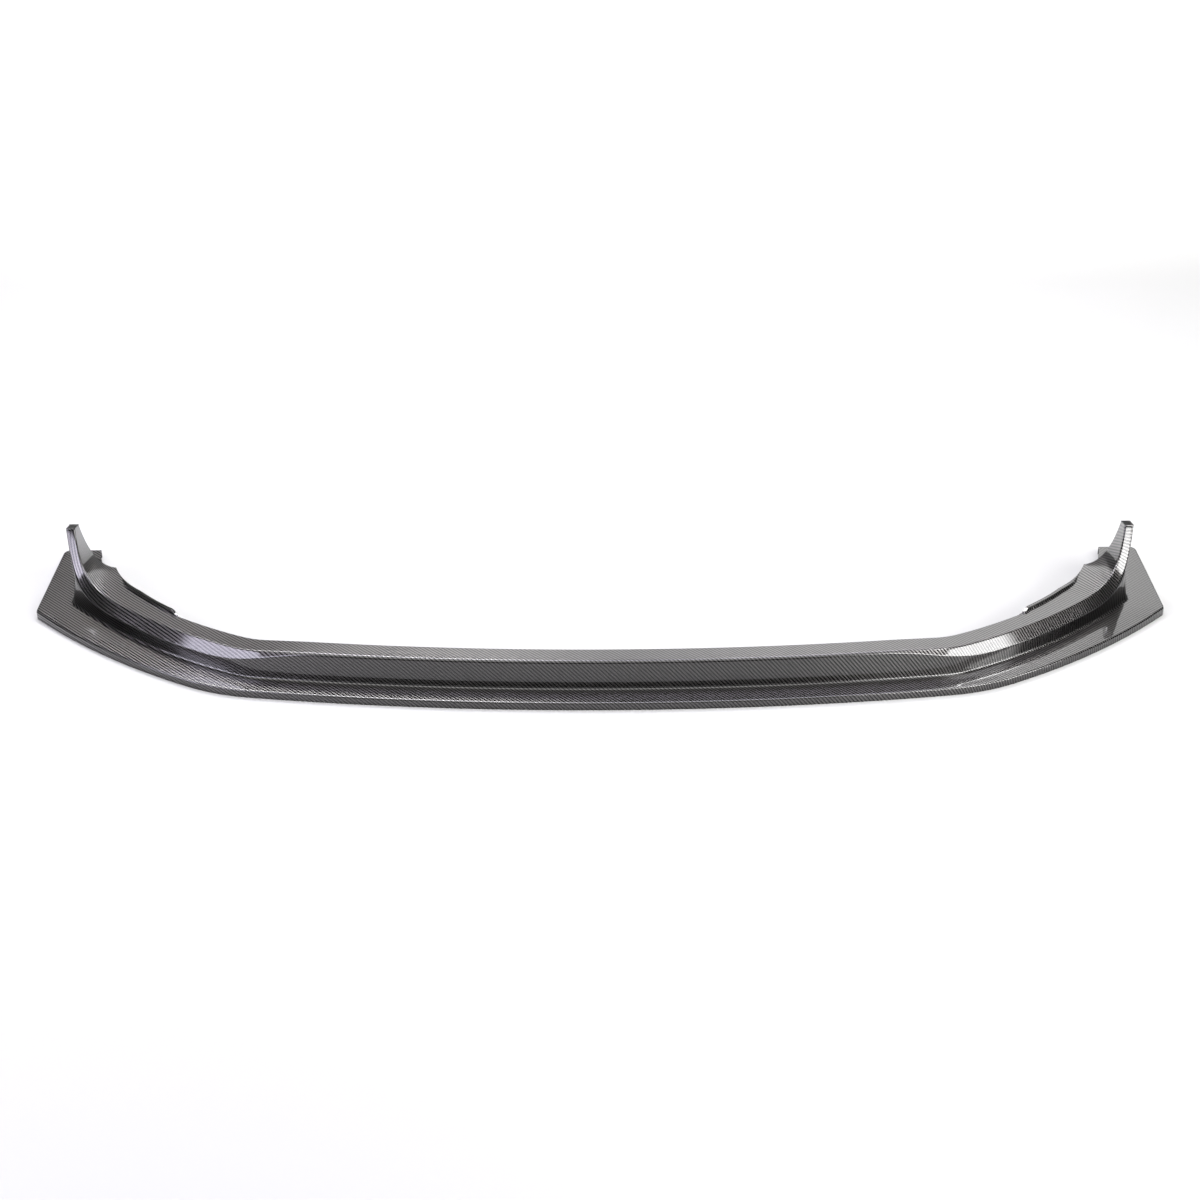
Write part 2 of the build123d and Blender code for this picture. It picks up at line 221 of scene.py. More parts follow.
def length_of(path):
    """Sum of the stretches' lengths."""
    return sum(length for length, _ in path)


def end_of(path, start_y):
    """Point and heading where a path ends."""
    x, y, heading = walk(path, start_y, np.array([length_of(path)]))
    return float(x[0]), float(y[0]), float(heading[0])


def bends(pairs):
    """Arcs from radii and the headings in degrees where they end."""
    path, heading = [], 0.0
    for radius, end in pairs:
        path.append(arc(radius, end - heading))
        heading = end
    return path


def sweep_heading(path, radius, reach_x, corner_radius):
    """Heading in degrees where a sweep meets a corner that ends at reach_x."""
    x, _, heading = end_of(path, 0.0)
    rise = reach_x - x + radius * sin(heading) - corner_radius
    return degrees(asin(rise / (radius - corner_radius)))


def wall_path():
    """Foot of the wall from the middle: bends, sweep, tight corner and straight side."""
    path = bends(WALL_BENDS)
    sweep = sweep_heading(path, WALL_SWEEP_RADIUS, WALL_SIDE_X, WALL_CORNER_RADIUS)
    path.append(arc(WALL_SWEEP_RADIUS, sweep - WALL_BENDS[-1][1]))
    path.append(arc(WALL_CORNER_RADIUS, 90.0 - sweep))
    path.append((SIDE_LENGTH, 0.0))
    return path


def edge_path(rear_y):
    """Outer edge of blade and plate: bends, sweep, front corner, side, rear corner and rear edge."""
    path = bends(FRONT_BENDS)
    sweep = sweep_heading(path, FRONT_SWEEP_RADIUS, HALF_WIDTH, 0.0)
    turn = sweep - FRONT_BENDS[-1][1]
    corner_y = end_of(path + [arc(FRONT_SWEEP_RADIUS, turn)], 0.0)[1]
    taper = degrees(atan2(PLATE_TAPER, rear_y - corner_y))
    front_trim = PLATE_FRONT_ROUND * tan(radians(90.0 + taper - sweep) / 2)
    rear_trim = PLATE_REAR_ROUND * tan(radians(90.0 - taper) / 2)
    trimmed = turn - degrees(front_trim / FRONT_SWEEP_RADIUS)
    path.append(arc(FRONT_SWEEP_RADIUS, trimmed))
    path.append(arc(PLATE_FRONT_ROUND, 90.0 + taper - FRONT_BENDS[-1][1] - trimmed))
    path.append((hypot(PLATE_TAPER, rear_y - corner_y) - front_trim - rear_trim, 0.0))
    path.append(arc(PLATE_REAR_ROUND, 90.0 - taper))
    path.append((HALF_WIDTH - PLATE_TAPER - rear_trim - WALL_SIDE_X + TAB_SET_IN, 0.0))
    return path


class Lines:
    """Guide lines of the right half of the lip, at every station from the middle to the horn's tip.

    For each station, run is the distance along the rail, rise the share of the way up the horn, and
    foot_at the distance of the wall's foot along the wall line.
    """

    def __init__(self, size):
        self.size = size
        self.wall = wall_path()
        to_corner, past_corner = self.wall[:-2], self.wall[:-1]
        self.rail = length_of(to_corner) - HORN_FOOT
        self.turn = length_of(past_corner)
        self.corner_y = end_of(past_corner, size.blade_width)[1]
        self.rear_y = self.corner_y + PLATE_RUN
        notch_height = size.flange_height_side + NOTCH_LIFT
        self.notch = np.array((WALL_SIDE_X - NOTCH_SET_IN, self.corner_y + NOTCH_BACK, notch_height))
        self.tip = np.array((WALL_SIDE_X - TIP_SET_IN, self.corner_y + TIP_BACK, size.tip_height))
        self.tip_up = np.array((0.0, TIP_FALL, TIP_DEPTH)) / hypot(TIP_FALL, TIP_DEPTH)
        self.s = np.linspace(0.0, self.rail, RAIL_COLUMNS + 1)
        shares = (0.0, NOTCH_SHARE, CORNER_SHARE, SIDE_SHARE, 1.0)
        spans = zip(shares, shares[1:], HORN_COLUMNS)
        self.t = np.concatenate([np.linspace(a, b, count + 1)[1:] for a, b, count in spans])
        self.wall_end = RAIL_COLUMNS + sum(HORN_COLUMNS[:-1])
        self.run = np.concatenate((self.s, np.full(len(self.t), self.rail)))
        self.rise = np.concatenate((np.zeros(len(self.s)), self.t))
        self.foot_at = np.concatenate((self.s, self.foot_run(self.t)))
        rail, horn = self.rail_points(self.s), self.horn_points(self.t)
        self.rear, self.top, self.low, self.foot = [np.concatenate(pair) for pair in zip(rail, horn)]

    def rail_points(self, s):
        """Flange rear, flange front, nose low and wall foot: the wall line set back by their insets."""
        size = self.size
        x, y, heading = walk(self.wall, size.blade_width, s)
        full = ease(s, NOSE_START, NOSE_FULL)
        top = mix(size.flange_height, size.flange_height_side, full)
        low = top - mix(NOSE_EDGE, NOSE_RISE, full)
        lean = np.radians(mix(WALL_LEAN, WALL_LEAN_SIDE, full))
        widened = np.maximum(0.0, s - self.rail + WIDENING_LENGTH) / WIDENING_LENGTH
        low_in = np.tan(lean) * (low - size.edge_height)
        top_in = low_in + mix(NOSE_EDGE, NOSE_SET_BACK, full)
        rear_in = top_in + size.flange_width + FLANGE_WIDENING * widened**2
        rear_in = rear_in + RIM_REACH * self.rim_share(s)
        foot = point(x, y, size.edge_height)
        inward = -outward(heading)
        above = [
            foot + inward * inset[:, None] + UP * (height - size.edge_height)[:, None]
            for height, inset in ((top, rear_in), (top, top_in), (low, low_in))
        ]
        return [*above, foot]

    def rim_share(self, s):
        """How far the rim has risen: a smooth step over its ramp."""
        start = self.rail - RIM_LENGTH
        return ease(s, start, start + RIM_RAMP)

    def horn_points(self, t):
        """The same lines up the horn: cubic curves, and a foot that rounds the corner and climbs."""
        rear, top, low, _ = [line[0] for line in self.rail_points(np.array([self.rail]))]
        ahead = level(walk(self.wall, 0.0, np.array([self.rail]))[2])[0]
        lean, flare = radians(HORN_LEAN), radians(HORN_FLARE)
        axis = np.array((sin(flare), sin(lean), cos(lean)))
        rear_lean, rear_flare = radians(REAR_LEAN), radians(REAR_FLARE)
        rear_axis = np.array((sin(rear_flare), -sin(rear_lean), cos(rear_lean)))
        across = np.array((TIP_WIDTH, 0.0, 0.0))
        tip, notch = self.tip, self.notch
        tip_low = tip + across
        tip_rear = tip + np.array((0.0, TIP_DEPTH, -TIP_FALL))
        arrive = level(radians(NOTCH_HEADING))
        leave = level(radians(NOTCH_HEADING - NOTCH_TURN))
        to_notch = (rear, rear + ahead * NOTCH_PULL[0], notch - arrive * NOTCH_PULL[1], notch)
        to_tip = (notch, notch + leave * REAR_PULL[0], tip_rear - rear_axis * REAR_PULL[1], tip_rear)
        rear_line = np.where(
            (t <= NOTCH_SHARE)[:, None],
            bezier(to_notch, np.minimum(t / NOTCH_SHARE, 1.0)),
            bezier(to_tip, np.maximum((t - NOTCH_SHARE) / (1.0 - NOTCH_SHARE), 0.0)),
        )
        top_line = bezier((top, top + ahead * TOP_PULL[0], tip - axis * TOP_PULL[1], tip), t)
        low_line = bezier((low, low + ahead * LOW_PULL[0], tip_low - axis * LOW_PULL[1], tip_low), t)
        x, y, _ = walk(self.wall, self.size.blade_width, self.foot_run(t))
        climb = np.clip((t - SIDE_SHARE) / (1.0 - SIDE_SHARE), 0.0, 1.0)[:, None]
        foot = mix(point(x, y, self.size.edge_height), tip_rear + across, climb)
        return [rear_line, top_line, low_line, foot]

    def foot_run(self, t):
        """Distance of the foot along the wall line: even steps to the corner, then to the side's end."""
        ends = (self.rail, self.turn, self.turn + SIDE_LENGTH)
        return np.interp(t, (0.0, CORNER_SHARE, SIDE_SHARE), ends)

    def headings(self):
        """Direction square to each section: the wall line's on the rail, each line's own on the horn."""
        heading = walk(self.wall, 0.0, self.s)[2]
        lines = []
        for line in (self.rear, self.top, self.low, self.foot):
            along = unit(np.gradient(line, axis=0))
            along[: len(self.s)] = level(heading)
            along[-1] = self.tip_up
            lines.append(along)
        return lines

    def normals(self):
        """Outward normals of flange, nose and wall: across the section times along it."""
        points = (self.rear, self.top, self.low, self.foot)
        along = self.headings()
        return [unit(np.cross(points[k + 1] - points[k], along[k] + along[k + 1])) for k in range(3)]


def mitre(a, b):
    """Offset of one unit from both faces at a corner: their sum over one plus their dot product."""
    return (a + b) / (1.0 + np.sum(a * b, axis=-1, keepdims=True))


def rounded(before, corner, after, cut, rows):
    """Quadratic curve that cuts a corner, from a cut's length before it to the same length after it."""
    cut = np.broadcast_to(cut, corner.shape[:1])[:, None]
    a = corner + unit(before - corner) * cut
    b = corner + unit(after - corner) * cut
    t = np.linspace(0.0, 1.0, rows)[:, None, None]
    return (1 - t) ** 2 * a + 2 * t * (1 - t) * corner + t * t * b


def between(a, b, rows):
    """Evenly spaced points strictly between two lines."""
    t = np.linspace(0.0, 1.0, rows + 2)[1:-1, None, None]
    return a + (b - a) * t


def joined(*strips):
    """Rounded corners in order, with straight rows put in between: numbers give how many."""
    rows = [strips[0]]
    for count, strip in zip(strips[1::2], strips[2::2]):
        rows.append(between(rows[-1][-1], strip[0], count))
        rows.append(strip)
    return np.concatenate(rows)


def run_lengths(rows):
    """Length along each section from its first row: the sum of the steps between rows."""
    steps = np.linalg.norm(np.diff(rows, axis=0), axis=-1)
    return np.concatenate((np.zeros((1, rows.shape[1])), np.cumsum(steps, axis=0)))


class Weave:
    """Flattens the section onto the cloth: along the flange's front line, then square to it."""

    def __init__(self, lines):
        self.lines = lines
        heading = walk(lines.wall, 0.0, lines.s)[2]
        held = len(lines.s) - 1
        self.heading = np.concatenate((heading, np.full(len(lines.t), heading[-1])))
        steps = np.linalg.norm(np.diff(lines.top[held:], axis=0), axis=-1)
        ahead = level(heading[-1:]) * np.cumsum(steps)[:, None]
        self.line = np.concatenate((lines.top[: held + 1], lines.top[held] + ahead))[:, :2]

    def section(self, rows, top_row):
        """Cloth coordinates of rows that cross the flange's front line at top_row."""
        run = run_lengths(rows)
        run = run - run[top_row]
        return self.line + run[..., None] * outward(self.heading)[:, :2]

    def plate_shift(self, rows, top_row):
        """How far the cloth on the blade lies from its place in plan, held from the horn's foot on."""
        toe = self.section(rows, top_row)[-1] - rows[-1][:, :2]
        held = len(self.lines.s) - 1
        toe[held:] = toe[held]
        return toe


class Skin:
    """Collects grids of points as quads with cloth coordinates, then welds and mirrors them."""

    def __init__(self):
        self.points, self.quads, self.cloth, self.caps = [], [], [], []
        self.count = 0

    def add(self, rows, cloth):
        """A grid of rows by columns, one quad for each cell."""
        numbers = self.count + np.arange(rows.shape[0] * rows.shape[1]).reshape(rows.shape[:2])
        self.points.append(rows.reshape(-1, 3))
        self.count += numbers.size
        near, far = slice(None, -1), slice(1, None)
        cells = ((near, near), (far, near), (far, far), (near, far))
        self.quads.append(np.stack([numbers[c] for c in cells], axis=-1).reshape(-1, 4))
        self.cloth.append(np.stack([cloth[c] for c in cells], axis=-2).reshape(-1, 4, 2))

    def cap(self, ring, cloth):
        """One flat face round a ring of points."""
        start = self.count
        self.points.append(ring)
        self.count += len(ring)
        self.caps.append((np.arange(start, self.count)[::-1], cloth[::-1]))

    def finished(self):
        """Points, faces and face-corner cloth coordinates of both halves, welded, with no empty faces."""
        points = np.concatenate(self.points)
        points = np.concatenate((points, points * MIRROR))
        quads, cloth = np.concatenate(self.quads), np.concatenate(self.cloth)
        quads = np.concatenate((quads, quads[:, ::-1] + self.count))
        cloth = np.concatenate((cloth, cloth[:, ::-1] * MIRROR[:2]))
        points, place = np.unique(np.round(points, SIZE_DIGITS), axis=0, return_inverse=True)
        place = place.reshape(-1)
        quads = place[quads]
        same = quads == np.roll(quads, -1, axis=1)
        crossed = (quads[:, 0] == quads[:, 2]) | (quads[:, 1] == quads[:, 3])
        whole = ~same.any(axis=1) & ~crossed
        faces = quads[whole].tolist()
        corners = [cloth[whole].reshape(-1, 2)]
        for k in range(4):
            # A quad whose corner k is welded to the next one is a triangle
            triangle = (same.sum(axis=1) == 1) & same[:, k] & ~crossed
            kept = [i for i in range(4) if i != k]
            faces += quads[triangle][:, kept].tolist()
            corners.append(cloth[triangle][:, kept].reshape(-1, 2))
        for ring, flat in self.caps:
            mirrored = (ring[::-1] + self.count, flat[::-1] * MIRROR[:2])
            for numbers, flat_side in ((ring, flat), mirrored):
                numbers = place[numbers]
                kept = numbers != np.roll(numbers, -1)
                faces.append(numbers[kept].tolist())
                corners.append(flat_side[kept])
        return points, faces, np.concatenate(corners)


def rim_lines(lines, flange):
    """Foot, back, crest and height of the rim, which ramps up on the rail and falls away to the notch."""
    forward = unit(lines.top - lines.rear)
    fall = 1.0 - ease(lines.rise, 0.0, RIM_END * NOTCH_SHARE)
    height = lines.size.rim_height * lines.rim_share(lines.run) * fall
    share = np.minimum(1.0, height / RIM_LOW)[:, None]
    foot = lines.rear + forward * (RIM_WIDTH + RIM_SET_IN) * share
    back = lines.rear + forward * RIM_SET_IN * share
    crest = foot + flange * height[:, None] - forward * RIM_SLANT * share
    return foot, back, crest, height


def outer_side(lines, rim_foot, crest, rim_height):
    """Rows from the rim's crest over flange, nose and wall, with cut corners and a fillet at the foot."""
    side = outward(walk(lines.wall, 0.0, lines.foot_at)[2])
    fade = ease(lines.turn + SIDE_LENGTH - lines.foot_at, 0.0, FILLET_FADE)
    fillet = mix(FILLET_END, lines.size.wall_fillet, fade)
    full = ease(lines.run, NOSE_START, NOSE_FULL)
    upright = ease(lines.rise, CORNER_SHARE / 2, CORNER_SHARE)
    rim_cut = np.minimum(RIM_CUT, RIM_CUT_SHARE * rim_height)
    top_cut = mix(mix(TOP_CUT_MIDDLE, TOP_CUT, full), TOP_CUT_TIP, upright)
    low_cut = mix(mix(LOW_CUT_MIDDLE, LOW_CUT, full), LOW_CUT_TIP, upright)
    rows = joined(
        rounded(crest, rim_foot, lines.top, rim_cut, RIM_ROWS),
        FLANGE_ROWS,
        rounded(rim_foot, lines.top, lines.low, top_cut, ROUND_ROWS),
        NOSE_ROWS,
        rounded(lines.top, lines.low, lines.foot, low_cut, ROUND_ROWS),
        WALL_ROWS,
        rounded(lines.low, lines.foot, lines.foot + side, fillet, ROUND_ROWS),
    )
    return np.concatenate((crest[None], rows))


def inner_side(lines, normals, rim_back, crest, rim_height):
    """Rows one thickness inside: up the wall, under nose and flange, and up the rim's back."""
    flange, nose, wall = normals
    shell = lines.size.thickness
    sink = 1.0 - ease(lines.rise, SIDE_SHARE, SIDE_SHARE + SINK_FADE)[:, None]
    foot = lines.foot - wall * shell - UP * shell * sink
    low = lines.low - mitre(nose, wall) * shell
    top = lines.top - mitre(flange, nose) * shell
    rear = lines.rear - flange * shell
    rim_edge = rim_back + flange * rim_height[:, None]
    return np.concatenate((
        foot[None],
        between(foot, low, INNER_WALL_ROWS),
        low[None],
        between(low, top, INNER_NOSE_ROWS),
        top[None],
        between(top, rear, INNER_FLANGE_ROWS),
        np.stack((rear, lines.rear, rim_back, rim_edge, crest)),
    ))


def lip_skin(size):
    """The whole laminate: a section carried from the middle to each horn, with end plates and lids."""
    lines = Lines(size)
    weave = Weave(lines)
    skin = Skin()
    normals = lines.normals()
    rim_foot, rim_back, crest, rim_height = rim_lines(lines, normals[0])
    outer = outer_side(lines, rim_foot, crest, rim_height)
    inner = inner_side(lines, normals, rim_back, crest, rim_height)
    outer_cloth = weave.section(outer, OUTER_TOP)
    inner_cloth = weave.section(inner[::-1], len(inner) - 1 - INNER_TOP)[::-1]
    skin.add(outer, outer_cloth)
    skin.add(inner, inner_cloth)

    # Rear edge of the fin, from the plate up to the tip
    end = lines.wall_end
    skin.add(
        np.stack((outer[-1, end:], inner[0, end:])),
        np.stack((outer_cloth[-1, end:], inner_cloth[0, end:])),
    )
    under_lid = slice(INNER_REAR + 1)
    add_lid(skin, lines, outer[:, -1], inner[under_lid, -1], outer_cloth[:, -1], inner_cloth[under_lid, -1])
    add_blade(skin, lines, outer[-1], inner[0], weave.plate_shift(outer, OUTER_TOP))
    points, faces, cloth = skin.finished()
    points[:, 1] -= lines.rear_y / 2
    return points * MM, faces, cloth * MM


def add_lid(skin, lines, rim, inside, rim_cloth, inside_cloth):
    """Closes the tip: the end section drawn in along a quarter circle, then flat, with its rear face."""
    centre = lines.tip + np.array((TIP_WIDTH / 2, TIP_DEPTH / 2, -TIP_FALL / 2))
    across = np.array((1.0, 0.0, 0.0))
    back = np.cross(lines.tip_up, across)
    half_width, half_depth = TIP_WIDTH / 2, hypot(TIP_DEPTH, TIP_FALL) / 2
    turn = np.linspace(0.0, np.pi / 2, LID_ROWS)
    inset = TIP_ROUND * (1.0 - np.cos(turn))[None, :, None]
    height = (TIP_LID - TIP_ROUND) * (turn > 0.0) + TIP_ROUND * np.sin(turn)
    offset = (rim - centre)[:, None, :]
    x = (offset @ across)[..., None] * (1.0 - inset / half_width)
    y = (offset @ back)[..., None] * (1.0 - inset / half_depth)
    rings = centre + x * across + y * back + height[None, :, None] * lines.tip_up
    cloth = rim_cloth[:, None, :] + np.concatenate((inset, height[None, :, None]), axis=-1)
    skin.add(rings, cloth)
    skin.cap(rings[::-1, -1], cloth[::-1, -1])
    skin.cap(inside[::-1], inside_cloth[::-1])
    skin.cap(
        np.concatenate((inside[-1:], inside[:1], rings[-1], rings[0, ::-1])),
        np.concatenate((inside_cloth[-1:], inside_cloth[:1], cloth[-1], cloth[0, ::-1])),
    )


def tab_line(lines, start, share):
    """Inner edge of the tab: straight from the wall's end to each corner, by shares of its length."""
    tab_x = WALL_SIDE_X - TAB_SET_IN
    stops = np.array((
        start[:2],
        (tab_x - TAB_LENGTH * tan(radians(TAB_LEAN)), lines.rear_y - TAB_LENGTH),
        (tab_x, lines.rear_y - TAB_END),
    ))
    spans = np.concatenate(([0.0], np.cumsum(np.linalg.norm(np.diff(stops, axis=0), axis=1))))
    x, y = [np.interp(share * spans[-1], spans, stops[:, k]) for k in range(2)]
    return point(x, y, lines.size.edge_height)


def add_blade(skin, lines, toe, toe_in, shift):
    """Blade and end plate: straight lines from the wall's toe and the tab to the turned-down edge."""
    size, shell, end = lines.size, lines.size.thickness, lines.wall_end
    edge = edge_path(lines.rear_y)
    past_corner = edge[: EDGE_CORNER + 1]
    to_corner = length_of(edge[:EDGE_CORNER]) + edge[EDGE_CORNER][0] / 2
    to_rear = length_of(past_corner) + SIDE_LENGTH + lines.corner_y - end_of(past_corner, 0.0)[1]
    ends = (0.0, lines.turn, lines.turn + SIDE_LENGTH)
    reach = np.interp(lines.foot_at[: end + 1], ends, (0.0, to_corner, to_rear))
    tail = np.linspace(0.0, 1.0, TAIL_COLUMNS + 1)[1:]
    reach = np.concatenate((reach, mix(to_rear, length_of(edge), tail)))
    x, y, heading = walk(edge, 0.0, reach)
    side = outward(heading)
    brim = point(x, y, size.edge_height)
    base = point(x, y, 0.0)

    # Toe lines: along the wall, then round the tab to the rear edge
    tab = tab_line(lines, toe[end], tail)
    toe = np.concatenate((toe[: end + 1], tab))
    toe_in = np.concatenate((toe_in[: end + 1], tab - UP * shell))

    # Top: falls with the square of the way to the edge, rounds over it and drops to the ground
    fall = size.blade_fall * (1.0 - ease(reach, to_corner - FALL_FADE, to_corner))
    drop = point(0.0, 0.0, fall)
    share = np.linspace(0.0, 1.0, BLADE_ROWS)[:, None, None]
    flat = mix(toe, brim - side * size.edge_round, share) - drop * share**2
    corner = brim - drop
    top = np.concatenate((
        flat[:-1],
        rounded(flat[-2], corner, base, size.edge_round, ROUND_ROWS),
        between(corner - UP * size.edge_round, base, EDGE_ROWS),
        base[None],
    ))

    # Underside: up inside the turned-down edge and back to the wall
    inside = brim - side * shell - UP * shell
    under = np.concatenate((
        np.stack((base, base - side * shell, inside)),
        between(inside, toe_in, UNDER_ROWS),
        toe_in[None],
    ))

    # Cloth: its place in plan, moved with the wall's cloth and drawn out by the drop at the edge
    shift = np.concatenate((shift[: end + 1], np.repeat(shift[end : end + 1], TAIL_COLUMNS, axis=0)))
    top_cloth, under_cloth = [
        rows[..., :2] + shift + (size.edge_height - rows[..., 2:3]) * side[:, :2] for rows in (top, under)
    ]
    skin.add(top, top_cloth)
    skin.add(under, under_cloth)
    skin.add(
        np.stack((under[-1, end:], top[0, end:])),
        np.stack((under_cloth[-1, end:], top_cloth[0, end:])),
    )
    skin.cap(
        np.concatenate((top[::-1, -1], under[::-1, -1][:-1])),
        np.concatenate((top_cloth[::-1, -1], under_cloth[::-1, -1][:-1])),
    )


def linear(code):
    """Linear colour of an sRGB hex value: each c is ((c + 0.055) / 1.055)^2.4, or c / 12.92 when dark."""
    channels = [int(code.lstrip("#")[k : k + 2], 16) / 255.0 for k in (0, 2, 4)]
    return [c / 12.92 if c <= 0.04045 else ((c + 0.055) / 1.055) ** 2.4 for c in channels] + [1.0]


def node(tree, kind, links=(), **settings):
    """Adds a node: settings such as in_1 set an input, the others a property; links are (output, input)."""
    made = tree.nodes.new(kind)
    for name, value in settings.items():
        if name.startswith("in_"):
            made.inputs[int(name[3:])].default_value = value
        else:
            setattr(made, name, value)
    for source, target in links:
        tree.links.new(source, made.inputs[target])
    return made


def carbon_laminate(finish):
    """Twill carbon cloth in epoxy under polished clear coat: tows that flash in stripes, partly through
    their shine along the fibres and partly through a painted sheen, the warp's lighter grey; glassy gloss.
    """
    material = bpy.data.materials.new("clear_coated_twill_carbon")
    material.use_nodes = True
    tree = material.node_tree
    shader = tree.nodes["Principled BSDF"]
    cloth = node(tree, "ShaderNodeUVMap", uv_map=CLOTH)
    place = node(tree, "ShaderNodeSeparateXYZ", [(cloth.outputs["UV"], 0)])

    # Each tow is numbered across and along, and each step of both moves the twill on by one
    tows = 1.0 / finish.tow_width
    across = node(tree, "ShaderNodeMath", [(place.outputs["X"], 0)], operation="MULTIPLY", in_1=tows)
    along = node(tree, "ShaderNodeMath", [(place.outputs["Y"], 0)], operation="MULTIPLY", in_1=tows)
    column = node(tree, "ShaderNodeMath", [(across.outputs[0], 0)], operation="FLOOR")
    row = node(tree, "ShaderNodeMath", [(along.outputs[0], 0)], operation="FLOOR")
    step = node(tree, "ShaderNodeMath", [(column.outputs[0], 0), (row.outputs[0], 1)], operation="ADD")
    repeat = node(
        tree, "ShaderNodeMath", [(step.outputs[0], 0)], operation="FLOORED_MODULO", in_1=TWILL_REPEAT
    )
    weft = node(tree, "ShaderNodeMath", [(repeat.outputs[0], 0)], operation="LESS_THAN", in_1=WEFT_LIMIT)

    # Warp and weft are the same fibre: the warp's lighter grey against the weft's near black is a painted
    # sheen, and the shine of each runs along its own fibres
    turn = node(
        tree, "ShaderNodeMath", [(weft.outputs[0], 0)],
        operation="MULTIPLY_ADD", in_1=-QUARTER_TURN, in_2=QUARTER_TURN,
    )
    colour = node(
        tree, "ShaderNodeMix", [(weft.outputs[0], 0)],
        data_type="RGBA", in_6=finish.warp_colour_painted_sheen, in_7=finish.weft_colour,
    )
    tangent = node(tree, "ShaderNodeTangent", direction_type="UV_MAP", uv_map=CLOTH)
    tree.links.new(colour.outputs[2], shader.inputs["Base Color"])
    tree.links.new(turn.outputs[0], shader.inputs["Anisotropic Rotation"])
    tree.links.new(tangent.outputs[0], shader.inputs["Tangent"])
    shader.inputs["Metallic"].default_value = 1.0
    shader.inputs["Roughness"].default_value = finish.fibre_roughness
    shader.inputs["Anisotropic"].default_value = finish.fibre_grain
    shader.inputs["Coat Weight"].default_value = 1.0
    shader.inputs["Coat Roughness"].default_value = finish.coat_roughness
    shader.inputs["Coat IOR"].default_value = COAT_IOR
    return material


class LipSize(bpy.types.PropertyGroup):
    """Sizes of the lip, stored in metres."""

    thickness: FloatProperty(
        name="Thickness", description="Thickness of the laminate", unit="LENGTH", default=3.0 * MM
    )
    edge_height: FloatProperty(
        name="Edge height", description="Turned-down edge of the blade", unit="LENGTH", default=14.0 * MM
    )
    edge_round: FloatProperty(
        name="Edge rounding", description="Rounding along the blade's edge", unit="LENGTH", default=3.0 * MM
    )
    blade_width: FloatProperty(
        name="Blade width", description="Blade in front of the wall at the middle",
        unit="LENGTH", default=37.0 * MM,
    )
    blade_fall: FloatProperty(
        name="Blade fall", description="How much the blade drops towards its edge",
        unit="LENGTH", default=1.5 * MM,
    )
    wall_fillet: FloatProperty(
        name="Wall fillet", description="Hollow at the foot of the wall", unit="LENGTH", default=4.0 * MM
    )
    flange_height: FloatProperty(
        name="Flange height", description="Top flange at the middle", unit="LENGTH", default=60.0 * MM
    )
    flange_height_side: FloatProperty(
        name="Flange height at the sides", description="Top flange along the sweep",
        unit="LENGTH", default=53.0 * MM,
    )
    flange_width: FloatProperty(
        name="Flange width", description="Top flange from front to rear", unit="LENGTH", default=32.0 * MM
    )
    rim_height: FloatProperty(
        name="Rim height", description="Upturned rim beside the horn", unit="LENGTH", default=5.0 * MM
    )
    tip_height: FloatProperty(
        name="Tip height", description="Horn's tip under its lid", unit="LENGTH", default=125.0 * MM
    )


class LipFinish(bpy.types.PropertyGroup):
    """Finish of the carbon laminate."""

    tow_width: FloatProperty(
        name="Tow width", description="Width of one bundle of fibres", unit="LENGTH", default=1.667 * MM
    )
    # The warp's lighter grey against the weft's near black is a painted sheen: the same fibres given a lit
    # and a dark colour
    warp_colour_painted_sheen: FloatVectorProperty(
        name="Warp colour", description="Tows across the car", subtype="COLOR", size=4,
        min=0.0, max=1.0, default=linear("#5a5857"),
    )
    weft_colour: FloatVectorProperty(
        name="Weft colour", description="Tows along the car", subtype="COLOR", size=4,
        min=0.0, max=1.0, default=linear("#101010"),
    )
    fibre_roughness: FloatProperty(
        name="Fibre roughness", description="Spread of the fibres' shine", subtype="FACTOR",
        min=0.0, max=1.0, default=0.28,
    )
    fibre_grain: FloatProperty(
        name="Fibre grain", description="How much the shine follows the fibres", subtype="FACTOR",
        min=0.0, max=1.0, default=1.0,
    )
    coat_roughness: FloatProperty(
        name="Coat roughness", description="Roughness of the clear coat", subtype="FACTOR",
        min=0.0, max=1.0, default=0.02,
    )


